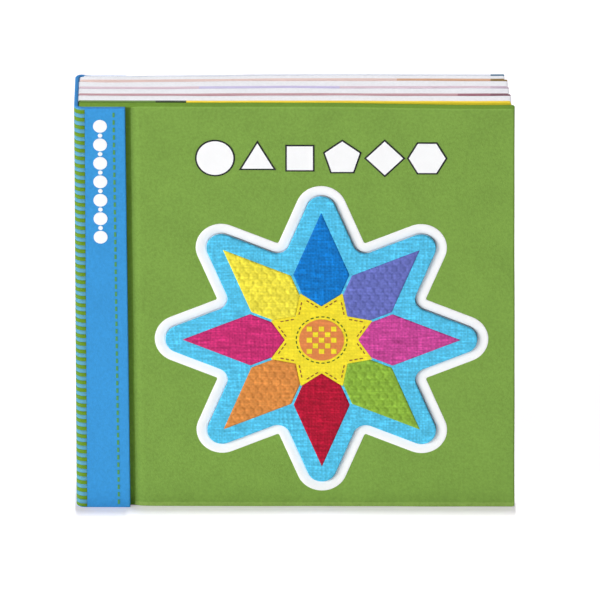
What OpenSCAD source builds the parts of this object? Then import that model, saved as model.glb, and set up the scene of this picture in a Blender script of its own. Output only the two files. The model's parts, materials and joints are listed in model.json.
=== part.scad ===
// A closed soft foam picture book that stands on its lower edge.
// X runs from the spine to the fore-edge, Y from the front cover to the back cover, Z upwards.
// The origin is at the middle of the lower edge.

/* [Covers] */
// Width of the closed book, from the spine to the fore-edge
book_w = 216; // [176:1:260]
// Height of the book
book_h = 215; // [176:1:260]
// Thickness of the front cover's foam board
front_board_t = 6; // [4:0.1:8]
// Thickness of the back cover's foam board
back_board_t = 4.4; // [4:0.1:8]
// Running gap between each cover and the leaves
cover_gap = 0.3; // [0.2:0.05:0.6]

/* [Leaves] */
// Thickness of the foam in one leaf
leaf_t = 6.8; // [4:0.1:9]
// Thickness of the printed film on a face of a leaf or a cover
film_t = 0.7; // [0.4:0.1:1]
// Air between two facing films
leaf_gap = 0.2; // [0.1:0.05:0.5]
// Width of the glued edge that joins the leaves at the spine
glue_w = 3; // [2:0.5:8]

/* [Spine wrap] */
// Thickness of the foam sheet that wraps the spine
wrap_t = 1.8; // [1.2:0.1:2.4]
// Outer radius of the wrap's two corners
wrap_r = 4; // [3:0.1:5]
// Width of the wrap on each cover, at the top
strip_w_top = 24.5; // [20:0.5:30]
// Width of the wrap on each cover, at the bottom
strip_w_bottom = 26; // [20:0.5:30]
// Gap between a cover's moving parts and the fixed spine
hinge_gap = 0.3; // [0.2:0.05:0.5]

/* [Printed stripes, stitches and dots on the wrap] */
// Thickness of a printed or stitched layer
print_t = 0.15; // [0.1:0.05:0.25]
// Distance from one stripe to the next
stripe_pitch = 4.15; // [3:0.1:8]
// Height of a green stripe
stripe_h = 2; // [1:0.1:2.5]
// Width of the striped band on each cover
band_w = 6; // [5.5:0.1:8]
// Distance from one stitch to the next
stitch_pitch = 4; // [3:0.1:8]
// Length of a stitch
stitch_len = 2.4; // [1:0.1:2.8]
// Width of a stitch
stitch_w = 1.1; // [0.5:0.1:1.5]
// Distance of the stitch line from the wrap's free edge
stitch_inset = 5.2; // [3:0.1:6]
// Radius of a large dot
dot_r = 3.4; // [2:0.1:3.7]
// Radius of a small dot
small_dot_r = 1.1; // [0.6:0.1:1.4]
// Gap between a large dot and a small one
dot_gap = 0.45; // [0.3:0.05:1]
// Height of the middle of the row of dots, below the top edge
dot_drop = 39.5; // [38:0.5:80]

/* [Row of shapes at the head of the front cover] */
// Radius of the circle that each shape fills
shape_r = 9; // [6:0.1:9.3]
// Gap between the outlines of two neighbouring shapes
shape_gap = 1.2; // [0.8:0.1:2.4]
// Width of the dark outline
outline_w = 0.8; // [0.4:0.1:0.9]
// Height of the row's middle, below the top edge
shape_drop = 27.5; // [22:0.5:35]

/* [Star piece in the front cover] */
// Green left between the border and the cover's lower edge
star_low_margin = 8.6; // [5:0.1:15]
// Green left between the border and the row of shapes
star_top_margin = 5.1; // [2:0.1:15]
// Least green left between the border and the fore-edge or the wrap
star_side_margin = 10; // [5:0.5:20]
// Radius of a point's round end
point_r = 7; // [5:0.5:9]
// Width of the white border printed round the cut-out
border_w = 5.2; // [3:0.1:5.8]
// Radius of the border's outer notches
border_notch_r = 1; // [0.5:0.1:2]
// Clearance between the star and its cut-out
star_gap = 0.4; // [0.3:0.05:0.6]
// How far the star stands out of the cover
star_proud = 1.5; // [0.5:0.1:3]
// Thickness of the star's printed face
face_t = 0.5; // [0.3:0.1:0.9]

/* [Patchwork on the star] */
// Margin between a patch's outer corner and the end of the star's point
patch_margin = 8; // [6:0.5:12]
// Gap between two patches
patch_gap = 1.2; // [0.6:0.1:2]
// Distance of the inner star's points from the middle
inner_star_reach = 27; // [24:0.5:29]
// Distance of the inner star's notches from the middle
inner_star_root = 18; // [16:0.5:20]
// Radius of the disc in the inner star
disc_r = 11; // [8:0.5:12]
// Width of a square on the disc
check_w = 2.6; // [2:0.1:2.8]
// Gap between two rows of squares
check_gap = 0.4; // [0.2:0.1:1]
// Distance from one fine stitch to the next
fine_pitch = 2.6; // [2.4:0.1:4]
// Length of a fine stitch
fine_len = 1.5; // [0.8:0.1:1.8]
// Width of a fine stitch
fine_w = 0.5; // [0.3:0.1:0.8]
// Distance of a row of fine stitches from the edge that it follows
fine_inset = 1.2; // [0.8:0.1:1.5]

/* [Hidden] */
leaf_count = 3;
round_fn = 48;
first_stripe_angle = 20;
// Each shape of the row as its number of sides and its turn
row_shape_list = [[round_fn, 0], [3, 90], [4, 45], [5, 90], [4, 0], [6, 0]];
triangle_drop = shape_r / 8;
large_dots = 7;
points = 8;

pages_t = leaf_count * (leaf_t + 2 * film_t) + (leaf_count - 1) * leaf_gap;
front_cover_t = front_board_t + film_t;
back_cover_t = back_board_t + 2 * film_t;
stack_t = front_cover_t + cover_gap + pages_t + cover_gap + back_cover_t;
wrap_rise = wrap_t + print_t;
star_rise = star_proud + 3 * print_t;
front_rise = max(wrap_rise, star_rise);

front_y = front_rise - (front_rise + stack_t + wrap_rise) / 2;
pages_y = front_y + front_cover_t + cover_gap;
back_cover_y = pages_y + pages_t + cover_gap;
back_y = front_y + stack_t;
spine_x = print_t - book_w / 2;
fore_x = book_w / 2;
board_x = spine_x + wrap_t + hinge_gap;
page_x = spine_x + wrap_t;
corner_x = spine_x + wrap_r;
corner_y = front_y - wrap_t + wrap_r;
nest_r = wrap_r - wrap_t - print_t;
spine_y = corner_y + hinge_gap;
spine_d = front_y + back_y - 2 * spine_y;
// The spine's stripes stop short of the hinge lines, where the open cover's own stripes come to lie
stripe_relief = wrap_r / 2;

dots_z = book_h - dot_drop;
dot_pitch = 2 * (dot_r + small_dot_r + dot_gap);
// The dots lie halfway between the striped band and the stitches
dot_x = spine_x + (band_w + min(strip_w_top, strip_w_bottom) - stitch_inset) / 2;

// The green field on the cover, from the wrap to the fore-edge
field_w = book_w - print_t - max(strip_w_top, strip_w_bottom);
field_x = fore_x - field_w / 2;
shape_pitch = 2 * (shape_r + outline_w) + shape_gap;
shapes_z = book_h - shape_drop;
row_low_z = shapes_z - shape_r - outline_w;

// The star fills the field's height below the row, or its width if that is less
star_room_z = row_low_z - star_top_margin - star_low_margin;
star_reach = min(star_room_z, field_w - 2 * star_side_margin) / 2 - border_w - star_gap;
star_z = star_low_margin + star_room_z / 2;
star_face_y = front_y - star_proud;
half_step = 180 / points;
point_c = star_reach - point_r;
// Direction of a flank's outward normal, counted from the direction of its point
flank_a = 90 - half_step;
notch_r = border_notch_r + border_w + star_gap;
notch_c = (point_c * sin(half_step) + point_r + notch_r) / cos(flank_a - half_step);
// The straight flanks dip this far into the rounds, so that they cross them instead of grazing them
flank_dip = 0.01;
patch_root = patch_gap / 2 / sin(half_step);
patch_reach = star_reach - patch_margin;
inner_edge = inner_star_reach * unit(half_step) - inner_star_root * unit(0);

function unit(a) = [cos(a), sin(a)];
function point_a(i) = 90 + 2 * i * half_step;

// Corners where the star's straight flanks meet its round points and notches, with the star grown outwards
function star_corners(grow) = [for (i = [0:points - 1])
    let (point = point_c * unit(point_a(i)), notch = notch_c * unit(point_a(i) + half_step),
        point_corner_r = point_r + grow - flank_dip, notch_corner_r = notch_r - grow - flank_dip)
    each [
        point + point_corner_r * unit(point_a(i) - flank_a),
        point + point_corner_r * unit(point_a(i) + flank_a),
        notch - notch_corner_r * unit(point_a(i) + flank_a),
        notch - notch_corner_r * unit(point_a(i + 1) - flank_a)
    ]];

// The star's outline with round points and round notches, grown outwards
module star_outline(grow) {
    difference() {
        union() {
            polygon(star_corners(grow));
            for (i = [0:points - 1])
                translate(point_c * unit(point_a(i))) circle(point_r + grow, $fn = round_fn);
        }
        for (i = [0:points - 1])
            translate(notch_c * unit(point_a(i) + half_step)) circle(notch_r - grow, $fn = round_fn);
    }
}

module inner_star_outline() {
    polygon([for (i = [0:points - 1])
        each [inner_star_root * unit(point_a(i)), inner_star_reach * unit(point_a(i) + half_step)]]);
}

// An outline drawn in X and Z, given depth behind the plane at y
module facing(y, depth) {
    translate([0, y + depth, 0]) rotate([90, 0, 0]) linear_extrude(depth) children();
}

// The front cover's shape, turned over for the back cover
module turned_over() {
    translate([0, front_y + back_y, 0]) mirror([0, 1, 0]) children();
}

module slab(x, y, depth) {
    translate([x, y, 0]) cube([fore_x - x, depth, book_h]);
}

module at_star() {
    translate([field_x, star_z]) children();
}

// A cover's foam board, with its corner rounded to nest inside the wrap
module board(depth) {
    linear_extrude(book_h) union() {
        translate([corner_x, front_y]) square([fore_x - corner_x, depth]);
        translate([board_x, front_y + nest_r]) square([fore_x - board_x, depth - nest_r]);
        intersection() {
            translate([corner_x, front_y + nest_r]) circle(nest_r, $fn = round_fn);
            translate([board_x, front_y]) square([wrap_r, 2 * nest_r]);
        }
    }
}

// The part of the wrap that lies on a cover, with the corner that turns to the spine
module strip() {
    facing(front_y - wrap_t, wrap_t)
        polygon([[corner_x, 0], [spine_x + strip_w_bottom, 0], [spine_x + strip_w_top, book_h], [corner_x, book_h]]);
    translate([corner_x, corner_y, 0])
        rotate([0, 0, 180]) rotate_extrude(angle = 90)
            translate([wrap_r - wrap_t, 0]) square([wrap_t, book_h]);
}

// Section of a cover's striped band, round the corner and on to the face
module band_section() {
    far = 2 * wrap_r;
    translate([corner_x, front_y - wrap_rise]) square([band_w - wrap_r, print_t]);
    translate([corner_x, corner_y]) intersection() {
        difference() {
            circle(wrap_r + print_t, $fn = round_fn);
            circle(wrap_r, $fn = round_fn);
        }
        polygon([[0, 0], far * unit(180 + first_stripe_angle), [-far, -far], [0, -far]]);
    }
}

module strip_stripe(z, h) {
    translate([0, 0, z]) linear_extrude(h) band_section();
}

module spine_stripe(z, h) {
    translate([spine_x - print_t, spine_y + stripe_relief, z]) cube([print_t, spine_d - 2 * stripe_relief, h]);
}

// Start and height of each stripe, from the lower edge up
function green_stripes() = [for (z = [0:stripe_pitch:book_h - 0.5]) [z, min(stripe_h, book_h - z)]];
function pale_stripes() = [for (z = [stripe_h:stripe_pitch:book_h - 0.5]) [z, min(stripe_pitch - stripe_h, book_h - z)]];

// Stitches that follow the wrap's slanting free edge
module strip_stitches() {
    slant = (strip_w_top - strip_w_bottom) / book_h;
    for (z = [stitch_pitch / 2:stitch_pitch:book_h - stitch_len])
        translate([spine_x + strip_w_bottom - stitch_inset + slant * z, 0, 0])
            facing(front_y - wrap_rise, print_t)
                translate([-stitch_w / 2, z]) square([stitch_w, stitch_len]);
}

// Front of the slot that parts leaf i from the next one
function slot_y(i) = pages_y + i * (leaf_t + 2 * film_t + leaf_gap) - film_t - leaf_gap;

module page_block() {
    color("white") difference() {
        translate([page_x, pages_y + film_t, 0]) cube([fore_x - page_x, pages_t - 2 * film_t, book_h]);
        for (i = [1:leaf_count - 1])
            translate([page_x + glue_w, slot_y(i), -1]) cube([book_w, 2 * film_t + leaf_gap, book_h + 2]);
    }
}

module spread_film(i) {
    slab(page_x + glue_w, slot_y(i), film_t);
    slab(page_x + glue_w, slot_y(i) + film_t + leaf_gap, film_t);
}

module first_page_film() { color("gold") slab(page_x, pages_y, film_t); }
module second_spread_film() { color("indianred") spread_film(1); }
module third_spread_film() { color("plum") spread_film(2); }
module last_page_film() { color("darkorange") slab(page_x, pages_y + pages_t - film_t, film_t); }

module spine_wrap() { color("dodgerblue") translate([spine_x, spine_y, 0]) cube([wrap_t, spine_d, book_h]); }
module spine_pale_stripes() { color("lightskyblue") for (s = pale_stripes()) spine_stripe(s[0], s[1]); }
module spine_green_stripes() { color("olivedrab") for (s = green_stripes()) spine_stripe(s[0], s[1]); }

module cutout() {
    facing(front_y - 1, front_cover_t + 2) at_star() star_outline(star_gap);
}

module front_board() {
    color("yellowgreen") difference() {
        board(front_board_t);
        cutout();
    }
}

module front_inner_film() {
    color("gold") difference() {
        slab(board_x, front_y + front_board_t, film_t);
        cutout();
    }
}

module cutout_border() {
    color("white") facing(front_y - print_t, print_t) at_star() difference() {
        star_outline(star_gap + border_w);
        star_outline(star_gap);
    }
}

// One shape of the row, grown outwards
module row_shape(i, grow) {
    sides = row_shape_list[i][0];
    drop = sides == 3 ? triangle_drop : 0;
    translate([field_x + (i - (len(row_shape_list) - 1) / 2) * shape_pitch, shapes_z - drop])
        rotate(row_shape_list[i][1]) circle(shape_r + grow / cos(180 / sides), $fn = sides);
}

module row_shapes() {
    color("white") facing(front_y - print_t, print_t)
        for (i = [0:len(row_shape_list) - 1]) row_shape(i, 0);
}

module row_outlines() {
    color("black") facing(front_y - print_t, print_t)
        for (i = [0:len(row_shape_list) - 1]) difference() {
            row_shape(i, outline_w);
            row_shape(i, 0);
        }
}

module front_strip() { color("dodgerblue") strip(); }
module front_pale_stripes() { color("lightskyblue") for (s = pale_stripes()) strip_stripe(s[0], s[1]); }
module front_green_stripes() { color("olivedrab") for (s = green_stripes()) strip_stripe(s[0], s[1]); }
module front_stitches() { color("seagreen") strip_stitches(); }

module strip_dots() {
    color("white") facing(front_y - wrap_rise, print_t) {
        for (i = [0:large_dots - 1])
            translate([dot_x, dots_z + (i - (large_dots - 1) / 2) * dot_pitch])
                circle(dot_r, $fn = round_fn);
        for (i = [0:large_dots - 2])
            translate([dot_x, dots_z + (i + 1 - large_dots / 2) * dot_pitch])
                circle(small_dot_r, $fn = round_fn);
    }
}

module star_foam() {
    color("white") facing(star_face_y + face_t, star_proud + front_board_t - face_t) at_star() star_outline(0);
}

module star_face() {
    color("deepskyblue") facing(star_face_y, face_t) at_star() star_outline(0);
}

// Print on the star's face, on the first layer or on top of it
module on_star(layer) {
    facing(star_face_y - layer * print_t, print_t) at_star() children();
}

// The diamond-shaped patch on point i, counted from the top against the clock
module patch(i) {
    middle = (patch_root + patch_reach) / 2;
    half_w = (patch_reach - patch_root) / 2 * tan(half_step);
    on_star(1) difference() {
        rotate(point_a(i)) polygon([[patch_root, 0], [middle, -half_w], [patch_reach, 0], [middle, half_w]]);
        inner_star_outline();
    }
}

module inner_star() { color("yellow") on_star(1) inner_star_outline(); }
module centre_disc() { color("darkorange") on_star(2) circle(disc_r, $fn = round_fn); }

// Squares in a chequered pattern, as many as fit on the disc
module centre_checks() {
    check_pitch = check_w + check_gap;
    n = floor(disc_r / check_pitch);
    color("yellow") on_star(3) for (i = [-n:n]) for (j = [-n:n])
        if ((i + j) % 2 == 0 && norm([abs(i) + 0.5, abs(j) + 0.5]) * check_pitch < disc_r)
            translate([i * check_pitch, j * check_pitch]) square(check_w, center = true);
}

// A ring of stitches round the disc
module disc_stitches() {
    r = disc_r + fine_inset;
    count = floor(2 * PI * r / fine_pitch);
    color("darkolivegreen") on_star(2) for (k = [0:count - 1])
        rotate(k * 360 / count) translate([r, -fine_len / 2]) square([fine_w, fine_len]);
}

// Rows of stitches along the inner star's edges
module inner_star_stitches() {
    last = norm(inner_edge) - 2 * (fine_inset + fine_w) - fine_len;
    color("sienna") on_star(2) for (i = [0:points - 1]) for (side = [0, 1])
        rotate(point_a(i)) mirror([0, side]) translate([inner_star_root, 0])
            rotate(atan2(inner_edge[1], inner_edge[0])) for (x = [fine_inset:fine_pitch:last])
                translate([x, fine_inset]) square([fine_len, fine_w]);
}

module back_board() { color("white") turned_over() translate([0, film_t, 0]) board(back_board_t); }
module back_inner_film() { color("darkorange") slab(board_x, back_cover_y, film_t); }
module back_outer_film() { color("steelblue") slab(corner_x, back_y - film_t, film_t); }
module back_strip() { color("dodgerblue") turned_over() strip(); }
module back_pale_stripes() { color("lightskyblue") turned_over() for (s = pale_stripes()) strip_stripe(s[0], s[1]); }
module back_green_stripes() { color("olivedrab") turned_over() for (s = green_stripes()) strip_stripe(s[0], s[1]); }
module back_stitches() { color("seagreen") turned_over() strip_stitches(); }

page_block();
first_page_film();
second_spread_film();
third_spread_film();
last_page_film();
spine_wrap();
spine_pale_stripes();
spine_green_stripes();
front_board();
front_inner_film();
cutout_border();
row_shapes();
row_outlines();
front_strip();
front_pale_stripes();
front_green_stripes();
front_stitches();
strip_dots();
star_foam();
star_face();
color("royalblue") patch(0);  // patch_blue
color("yellow") patch(1);  // patch_yellow
color("mediumvioletred") patch(2);  // patch_magenta
color("orange") patch(3);  // patch_orange
color("crimson") patch(4);  // patch_crimson
color("limegreen") patch(5);  // patch_green
color("hotpink") patch(6);  // patch_pink
color("slateblue") patch(7);  // patch_purple
inner_star();
centre_disc();
centre_checks();
disc_stitches();
inner_star_stitches();
back_board();
back_inner_film();
back_outer_film();
back_strip();
back_pale_stripes();
back_green_stripes();
back_stitches();
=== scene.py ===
"""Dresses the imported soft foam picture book, and sets the view, light and floor of its photograph.

Lengths in the classes are millimetres. The book stands on its lower edge: X runs from the spine to the
fore-edge, Y from the front cover to the back cover, and Z upwards.
"""

import json
import logging
import math
from collections.abc import Callable, Sequence
from dataclasses import dataclass, field
from enum import Enum
from functools import partial

import bmesh
import bpy
import numpy as np
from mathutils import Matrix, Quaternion, Vector
from mathutils.geometry import delaunay_2d_cdt

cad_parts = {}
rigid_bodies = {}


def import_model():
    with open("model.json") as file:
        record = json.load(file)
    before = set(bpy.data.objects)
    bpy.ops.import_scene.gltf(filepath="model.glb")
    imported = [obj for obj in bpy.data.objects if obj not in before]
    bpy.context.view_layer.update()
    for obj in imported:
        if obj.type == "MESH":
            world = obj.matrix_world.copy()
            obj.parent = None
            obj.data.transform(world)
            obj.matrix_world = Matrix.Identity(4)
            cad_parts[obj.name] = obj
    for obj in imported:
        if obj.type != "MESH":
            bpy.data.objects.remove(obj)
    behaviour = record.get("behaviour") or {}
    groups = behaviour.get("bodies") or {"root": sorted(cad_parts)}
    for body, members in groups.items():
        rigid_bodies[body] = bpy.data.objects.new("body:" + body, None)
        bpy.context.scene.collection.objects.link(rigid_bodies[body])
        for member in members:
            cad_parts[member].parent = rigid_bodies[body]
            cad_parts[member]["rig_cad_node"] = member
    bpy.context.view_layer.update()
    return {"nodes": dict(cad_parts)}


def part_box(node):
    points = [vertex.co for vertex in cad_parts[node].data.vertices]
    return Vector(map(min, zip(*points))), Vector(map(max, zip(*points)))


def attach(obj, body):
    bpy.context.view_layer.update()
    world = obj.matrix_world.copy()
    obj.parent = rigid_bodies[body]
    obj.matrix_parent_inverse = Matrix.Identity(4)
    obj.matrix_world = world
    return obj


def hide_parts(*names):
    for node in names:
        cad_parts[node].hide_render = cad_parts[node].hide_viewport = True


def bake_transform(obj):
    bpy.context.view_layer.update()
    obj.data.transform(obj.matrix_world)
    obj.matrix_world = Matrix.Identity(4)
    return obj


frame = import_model()

LOG = logging.getLogger("soft_book")
MM = 0.001

# A closed book's sheets lie this much looser at the fore-edge, between two places across and two in depth.
FAN = 2.5
FAN_X = (-88.0, 7.0)
FAN_Y = (-13.0, 19.0)

CORNER_CHORDS = 5
FLAT_IN = 0.2  # a sheet's flat face starts this far inside its round edge
HEX_ROW = 0.866  # distance between two rows of a honeycomb, for cells that are 1 apart
PRINT_ROOT = 0.1  # printed relief reaches this far into what carries it

Place = Callable[[float, float, float], tuple[float, float, float]]
Colour = tuple[int, int, int]
Socket = bpy.types.NodeSocket


# Shapes


def unit(degrees: float) -> np.ndarray:
    """Returns the unit vector at an angle in degrees."""
    return np.array([math.cos(math.radians(degrees)), math.sin(math.radians(degrees))])


def smooth(t: np.ndarray | float) -> np.ndarray:
    """Returns a smooth step from 0 to 1 as t goes from 0 to 1."""
    t = np.clip(t, 0.0, 1.0)
    return t * t * (3 - 2 * t)


def arc(centre: Sequence[float], radius: float, start: float, end: float, steps: int) -> list[np.ndarray]:
    """Returns the points of an arc between two angles in degrees, cut into as many chords as steps."""
    return [np.array(centre) + radius * unit(start + (end - start) * k / steps) for k in range(steps + 1)]


def spread(points: Sequence[np.ndarray], step: float) -> np.ndarray:
    """Adds points to a closed outline.

    Args:
        points: The outline's corners.
        step: The longest side that is left.

    Returns:
        The outline with its long sides cut up.
    """
    out: list[np.ndarray] = []
    for a, b in zip(points, [*points[1:], points[0]]):
        n = max(1, math.ceil(float(np.linalg.norm(b - a)) / step))
        out += [a + (b - a) * k / n for k in range(n)]
    return np.array(out)


def sheet_outline(
    x: Sequence[float],
    z: Sequence[float],
    corner: float = 1.4,
    spine_corner: float = 1.4,
    step: float = 5.0,
) -> np.ndarray:
    """Makes the outline of a cut sheet, against the clock as the reader sees the front.

    Args:
        x: Its lowest and highest X.
        z: Its lowest and highest Z.
        corner: Radius of its corners at the fore-edge.
        spine_corner: Radius of its corners at the spine.
        step: Longest distance between two points.

    Returns:
        The outline's points.
    """
    points: list[np.ndarray] = []
    for cx, cz, start, radius in (
        (x[1] - corner, z[0] + corner, -90, corner),
        (x[1] - corner, z[1] - corner, 0, corner),
        (x[0] + spine_corner, z[1] - spine_corner, 90, spine_corner),
        (x[0] + spine_corner, z[0] + spine_corner, 180, spine_corner),
    ):
        points += arc((cx, cz), radius, start, start + 90, CORNER_CHORDS)
    return spread(points, step)


def inward(loop: np.ndarray) -> np.ndarray:
    """Finds which way each point of an outline moves when the outline shrinks.

    Args:
        loop: The outline, with the sheet on its left.

    Returns:
        A mitred normal for each point.
    """
    ahead = np.roll(loop, -1, axis=0) - loop
    ahead = ahead / np.linalg.norm(ahead, axis=1, keepdims=True)
    left = np.stack([-ahead[:, 1], ahead[:, 0]], axis=1)
    before = np.roll(left, 1, axis=0)
    return (left + before) / (1 + np.sum(left * before, axis=1, keepdims=True))


def hand_cut(loop: np.ndarray, amount: float, phase: float) -> np.ndarray:
    """Gives an outline the slight waves of a cut foam edge, but not along the spine.

    Args:
        loop: The outline.
        amount: Height of the waves.
        phase: Shifts the waves, so that no two sheets are alike.

    Returns:
        The waved outline, never outside the given one.
    """
    x, z = loop[:, 0], loop[:, 1]
    long = np.sin(x * 0.061 + z * 0.047 + phase)
    short = np.sin(x * 0.147 - z * 0.113 + 2.3 * phase)
    free = smooth((x - x.min() - 1) / 8)
    highest = 1.6
    return loop + inward(loop) * (amount * free * (long + 0.6 * short + highest) / (2 * highest))[:, None]


def round_drop(away: np.ndarray, radius: float) -> np.ndarray:
    """Returns how far a round corner falls back at each distance from the side."""
    return radius - np.sqrt(np.maximum(radius**2 - np.clip(radius - away, 0, radius) ** 2, 0))


def along_spine(loop: np.ndarray, there: float) -> np.ndarray:
    """Returns the scale of an edge's rounding at each point: there along the spine, and 1 elsewhere."""
    return 1 + (there - 1) * (1 - smooth((loop[:, 0] - loop[:, 0].min()) / 1.5))


def nearest_side(points: np.ndarray, loop: np.ndarray) -> np.ndarray:
    """Measures how far points lie from an outline.

    Args:
        points: The points.
        loop: The closed outline.

    Returns:
        One distance for each point.
    """
    a, along = loop, np.roll(loop, -1, axis=0) - loop
    t = np.einsum("pij,ij->pi", points[:, None] - a[None], along) / np.sum(along * along, axis=1)
    foot = a[None] + np.clip(t, 0, 1)[:, :, None] * along[None]
    return np.linalg.norm(points[:, None] - foot, axis=2).min(axis=1)


def inside(points: np.ndarray, loops: Sequence[np.ndarray]) -> np.ndarray:
    """Tells which points lie in a sheet with cut-outs.

    Args:
        points: The points.
        loops: The sheet's outline and its cut-outs.

    Returns:
        True for each point inside.
    """
    odd = np.zeros(len(points), bool)
    for loop in loops:
        a, b = loop, np.roll(loop, -1, axis=0)
        y = points[:, 1, None]
        spans = (a[None, :, 1] > y) != (b[None, :, 1] > y)
        rise = np.where(np.abs(b[:, 1] - a[:, 1]) < 1e-12, 1e-12, b[:, 1] - a[:, 1])
        cross = a[None, :, 0] + (y - a[None, :, 1]) / rise[None] * (b[:, 0] - a[:, 0])[None]
        odd ^= (np.sum(spans & (points[:, 0, None] < cross), axis=1) % 2).astype(bool)
    return odd


def triangles(loops: Sequence[np.ndarray], inner: np.ndarray | None = None) -> list[tuple[int, int, int]]:
    """Fills a flat sheet with triangles.

    Args:
        loops: The sheet's outline and its cut-outs.
        inner: More points inside the sheet.

    Returns:
        Triangles as places in the joined list of all the points.
    """
    points = np.concatenate([*loops, *([] if inner is None else [inner])])
    edges, start = [], 0
    for loop in loops:
        n = len(loop)
        edges += [(start + k, start + (k + 1) % n) for k in range(n)]
        start += n
    _, _, faces, origins, _, _ = delaunay_2d_cdt([Vector(p) for p in points], edges, [], 0, 1e-7)
    found = np.array([[origins[v][0] for v in f] for f in faces])
    keep = inside(points[found].mean(axis=1), loops)
    return [tuple(int(v) for v in f) for f in found[keep]]


def loosened(x: float, y: float) -> float:
    """Moves the sheets behind the front cover apart towards the fore-edge, where nothing holds them.

    Args:
        x: The point's X.
        y: Its Y in a tightly closed book.

    Returns:
        Its Y in the closed book as it lies loose.
    """
    across = float(smooth((x - FAN_X[0]) / (FAN_X[1] - FAN_X[0])))
    deep = min(max((y - FAN_Y[0]) / (FAN_Y[1] - FAN_Y[0]), 0), 1)
    return y + FAN * across * deep


def facing(y: float) -> Place:
    """Places a sheet's X, Z and depth behind the plane at y."""
    return lambda x, z, depth: (x * MM, loosened(x, y + depth) * MM, z * MM)


def facing_back(y: float) -> Place:
    """Places a sheet's X, Z and depth in front of the plane at y, for a sheet seen from behind."""
    return lambda x, z, depth: (x * MM, loosened(x, y - depth) * MM, z * MM)


def even_marks(x: Sequence[float], z: Sequence[float]) -> np.ndarray:
    """Spreads points over a sheet, so that it can bend.

    Args:
        x: The sheet's lowest and highest X.
        z: Its lowest and highest Z.

    Returns:
        The points, all well inside the sheet.
    """
    margin, step_x, step_z = 5.0, 14.0, 21.0
    across = np.linspace(x[0] + margin, x[1] - margin, math.ceil((x[1] - x[0]) / step_x))
    up = np.linspace(z[0] + margin, z[1] - margin, math.ceil((z[1] - z[0]) / step_z))
    return np.array([(a, u) for u in up for a in across])


@dataclass(frozen=True)
class Rim:
    """Round edges of a cut sheet, in front and behind."""

    front: float
    back: float
    steps: int = 5

    def profile(self, thickness: float) -> list[tuple[float, float, bool]]:
        """Lists the edge's rings.

        Args:
            thickness: Thickness of the sheet.

        Returns:
            Each ring's distance inside the outline, its depth, and whether it belongs to the front edge.
        """
        turns = [math.pi / 2 * k / self.steps for k in range(self.steps + 1)]
        around = [(1 - math.sin(a), 1 - math.cos(a)) for a in turns]
        front = [(self.front * inset, self.front * drop, True) for inset, drop in around]
        back = [(self.back * inset, thickness - self.back * drop, False) for inset, drop in around]
        first, last = (self.front + FLAT_IN, 0.0, True), (self.back + FLAT_IN, thickness, False)
        return [first, *front, *reversed(back), last]


FILM_RIM = Rim(0.2, 0.2, 3)


def join_rings(mesh: bmesh.types.BMesh, a: list, b: list) -> None:
    """Closes the wall between two rings of as many points.

    Args:
        mesh: The mesh that the rings are in.
        a: The first ring's vertices.
        b: The second ring's vertices.
    """
    n = len(a)
    for k in range(n):
        mesh.faces.new((a[k], b[k], b[(k + 1) % n], a[(k + 1) % n]))


@dataclass
class Shaping:
    """What makes a sheet's edges and front face uneven.

    front and back scale the rounding of the first outline's edges at each point. press is how deep the front
    is pressed in at a point, and marks are the points inside the two faces that let them bend.
    """

    front: np.ndarray | None = None
    back: np.ndarray | None = None
    press: Callable[[np.ndarray], np.ndarray] | None = None
    marks: np.ndarray | None = None

    def scales(self, number: int, count: int) -> tuple[np.ndarray, np.ndarray]:
        """Returns how an outline's two edges are scaled at each of its points."""
        even = np.ones(count)
        return tuple(even if number or given is None else given for given in (self.front, self.back))

    def depth(self, points: np.ndarray) -> np.ndarray:
        """Returns how deep the front is pressed in at each point."""
        return np.zeros(len(points)) if self.press is None else self.press(points)


def add_slab(
    mesh: bmesh.types.BMesh,
    loops: Sequence[np.ndarray],
    thickness: float,
    rim: Rim,
    place: Place,
    shaping: Shaping | None = None,
) -> None:
    """Adds a sheet of foam or film with round edges.

    Args:
        mesh: The mesh that it is added to.
        loops: Its outline against the clock, and its cut-outs with the clock.
        thickness: Its thickness.
        rim: Its round edges.
        place: Puts X, Z and depth into the book's frame.
        shaping: What makes it uneven, if anything.
    """
    shaping = shaping or Shaping()
    first, last = [], []
    flats: tuple[list[np.ndarray], list[np.ndarray]] = ([], [])
    for number, loop in enumerate(loops):
        normals = inward(loop)
        front, back = shaping.scales(number, len(loop))
        rings, shrunk = [], []
        for inset, depth, in_front in rim.profile(thickness):
            scale, radius = (front, rim.front) if in_front else (back, rim.back)
            flat = loop + normals * (inset + (scale - 1) * min(inset, radius))[:, None]
            if in_front:
                deep = depth * scale + shaping.depth(flat)
            else:
                deep = thickness - (thickness - depth) * scale
            rings.append([mesh.verts.new(place(p[0], p[1], d)) for p, d in zip(flat, deep)])
            shrunk.append(flat)
        for a, b in zip(rings, rings[1:]):
            join_rings(mesh, a, b)
        first += rings[0]
        last += rings[-1]
        flats[0].append(shrunk[0])
        flats[1].append(shrunk[-1])
    if shaping.marks is not None:
        deep = shaping.depth(shaping.marks)
        first += [mesh.verts.new(place(p[0], p[1], d)) for p, d in zip(shaping.marks, deep)]
        last += [mesh.verts.new(place(p[0], p[1], thickness)) for p in shaping.marks]
    for cap, flat in ((first, flats[0]), (last, flats[1])):
        for f in triangles(flat, shaping.marks):
            mesh.faces.new([cap[v] for v in f])


def add_object(name: str, data: bpy.types.ID) -> bpy.types.Object:
    """Adds an object to the scene.

    Args:
        name: Its name.
        data: Its mesh, light or camera.

    Returns:
        The new object.
    """
    made = bpy.data.objects.new(name, data)
    bpy.context.scene.collection.objects.link(made)
    return made


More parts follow.
